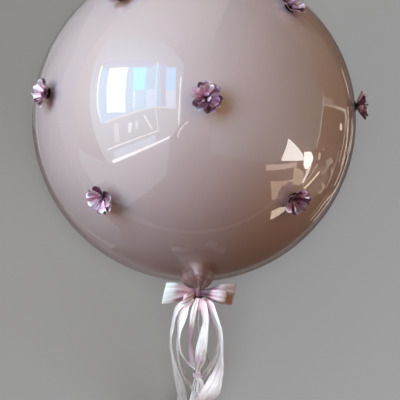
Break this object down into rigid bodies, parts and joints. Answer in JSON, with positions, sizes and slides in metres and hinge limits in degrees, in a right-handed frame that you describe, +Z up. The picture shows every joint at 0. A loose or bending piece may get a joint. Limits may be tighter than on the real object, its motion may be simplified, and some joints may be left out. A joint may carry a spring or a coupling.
{
  "type": "stuffed balloon",
  "caption": "Clear bubble balloon with an opaque latex balloon sealed inside, dotted with fabric flowers and tied with a satin bow and long ribbon ends.",
  "frame": {"origin": "centre of the small flat spot that the bubble lies on", "axes": "+Z up, the side that is looked at; +Y towards the balloon's crown, -Y towards its neck and ribbons"},
  "size_m": [0.5135, 0.9116, 0.5118],
  "materials": {
    "bubble_film": "clear polished film",
    "latex": "satin dusty rose",
    "petal": "pearl satin",
    "pink_satin": "satin",
    "white_satin": "satin"
  },
  "bodies": {
    "root": {"bubble": "bubble_film", "flower_01": "petal", "flower_02": "petal", "flower_03": "petal", "flower_04": "petal", "flower_05": "petal", "flower_06": "petal", "flower_07": "petal", "flower_08": "petal", "flower_09": "petal", "flower_10": "petal", "flower_11": "petal", "flower_12": "petal", "flower_13": "petal", "flower_14": "petal", "bow_back": "pink_satin", "bow_front": "pink_satin", "bow_wrap": "pink_satin", "neck_tie": "pink_satin", "lower_tie": "pink_satin", "streamer_left_sheer": "white_satin", "streamer_left_inner": "white_satin", "streamer_left_outer": "white_satin", "streamer_mauve": "white_satin", "streamer_thin_middle": "white_satin", "streamer_centre": "white_satin", "streamer_right_inner": "white_satin", "streamer_right_outer": "white_satin", "streamer_thin_right": "white_satin"}
  },
  "joints": []
}
